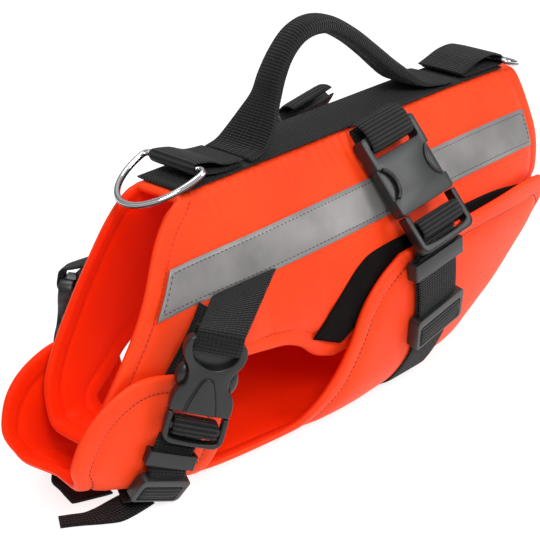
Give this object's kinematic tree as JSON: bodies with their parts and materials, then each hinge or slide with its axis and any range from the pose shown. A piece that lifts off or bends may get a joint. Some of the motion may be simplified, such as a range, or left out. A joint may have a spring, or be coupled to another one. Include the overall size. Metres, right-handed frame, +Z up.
{
  "type": "dog life jacket",
  "caption": "Padded dog life jacket: a saddle back panel and belly panel closed by webbing straps and side-release buckles, with a grab handle and leash rings.",
  "frame": {"origin": "underside of the girth strap on the middle line, where the jacket stands on the floor", "axes": "+X towards the tail end, -X towards the neck, +Y towards the dog's right, +Z up"},
  "size_m": [0.4278, 0.1636, 0.24],
  "materials": {
    "padded_cloth": "smooth closely woven nylon shell over foam, matt with a slight sheen",
    "webbing": "ribbed polypropylene webbing",
    "reflective_tape": "grey retroreflective tape",
    "hook_patch": "hook-and-loop pile",
    "buckle_plastic": "satin moulded",
    "chrome": "bright plated"
  },
  "bodies": {
    "vest": {"back_panel": "padded_cloth", "belly_panel": "padded_cloth", "spine_webbing": "webbing", "handle": "webbing", "ring_loop_front": "webbing", "ring_loop_rear": "webbing", "girth_strap_lower": "webbing", "chest_strap_lower": "webbing", "strap_tail_left": "webbing", "strap_tail_right": "webbing", "reflective_strip_left": "reflective_tape", "reflective_strip_right": "reflective_tape", "hook_patch_left": "hook_patch", "hook_patch_right": "hook_patch", "girth_strap_upper_left": "webbing", "girth_strap_upper_right": "webbing", "girth_strap_return_left": "webbing", "girth_strap_return_right": "webbing", "girth_buckle_socket_left": "buckle_plastic", "girth_buckle_socket_right": "buckle_plastic", "girth_buckle_plug_left": "buckle_plastic", "girth_buckle_plug_right": "buckle_plastic", "girth_keeper_left": "buckle_plastic", "girth_keeper_right": "buckle_plastic", "girth_slider_left": "buckle_plastic", "girth_slider_right": "buckle_plastic", "chest_strap_upper_left": "webbing", "chest_strap_upper_right": "webbing", "chest_buckle_socket_left": "buckle_plastic", "chest_buckle_socket_right": "buckle_plastic", "chest_buckle_plug_left": "buckle_plastic", "chest_buckle_plug_right": "buckle_plastic", "chest_keeper_left": "buckle_plastic", "chest_keeper_right": "buckle_plastic", "chest_slider_left": "buckle_plastic", "chest_slider_right": "buckle_plastic", "arm_webbing_left": "webbing", "arm_webbing_right": "webbing"},
    "ring_front": {"d_ring_front": "chrome"},
    "ring_rear": {"d_ring_rear": "chrome"}
  },
  "joints": [
    {"name": "ring_front_swing", "type": "hinge", "parent": "vest", "child": "ring_front", "pos_m": [-0.145, 0, 0.1814], "axis": [0, 1, 0], "range_deg": [0, 150]},
    {"name": "ring_rear_swing", "type": "hinge", "parent": "vest", "child": "ring_rear", "pos_m": [0.141, 0, 0.1756], "axis": [0, -1, 0], "range_deg": [0, 150]}
  ]
}
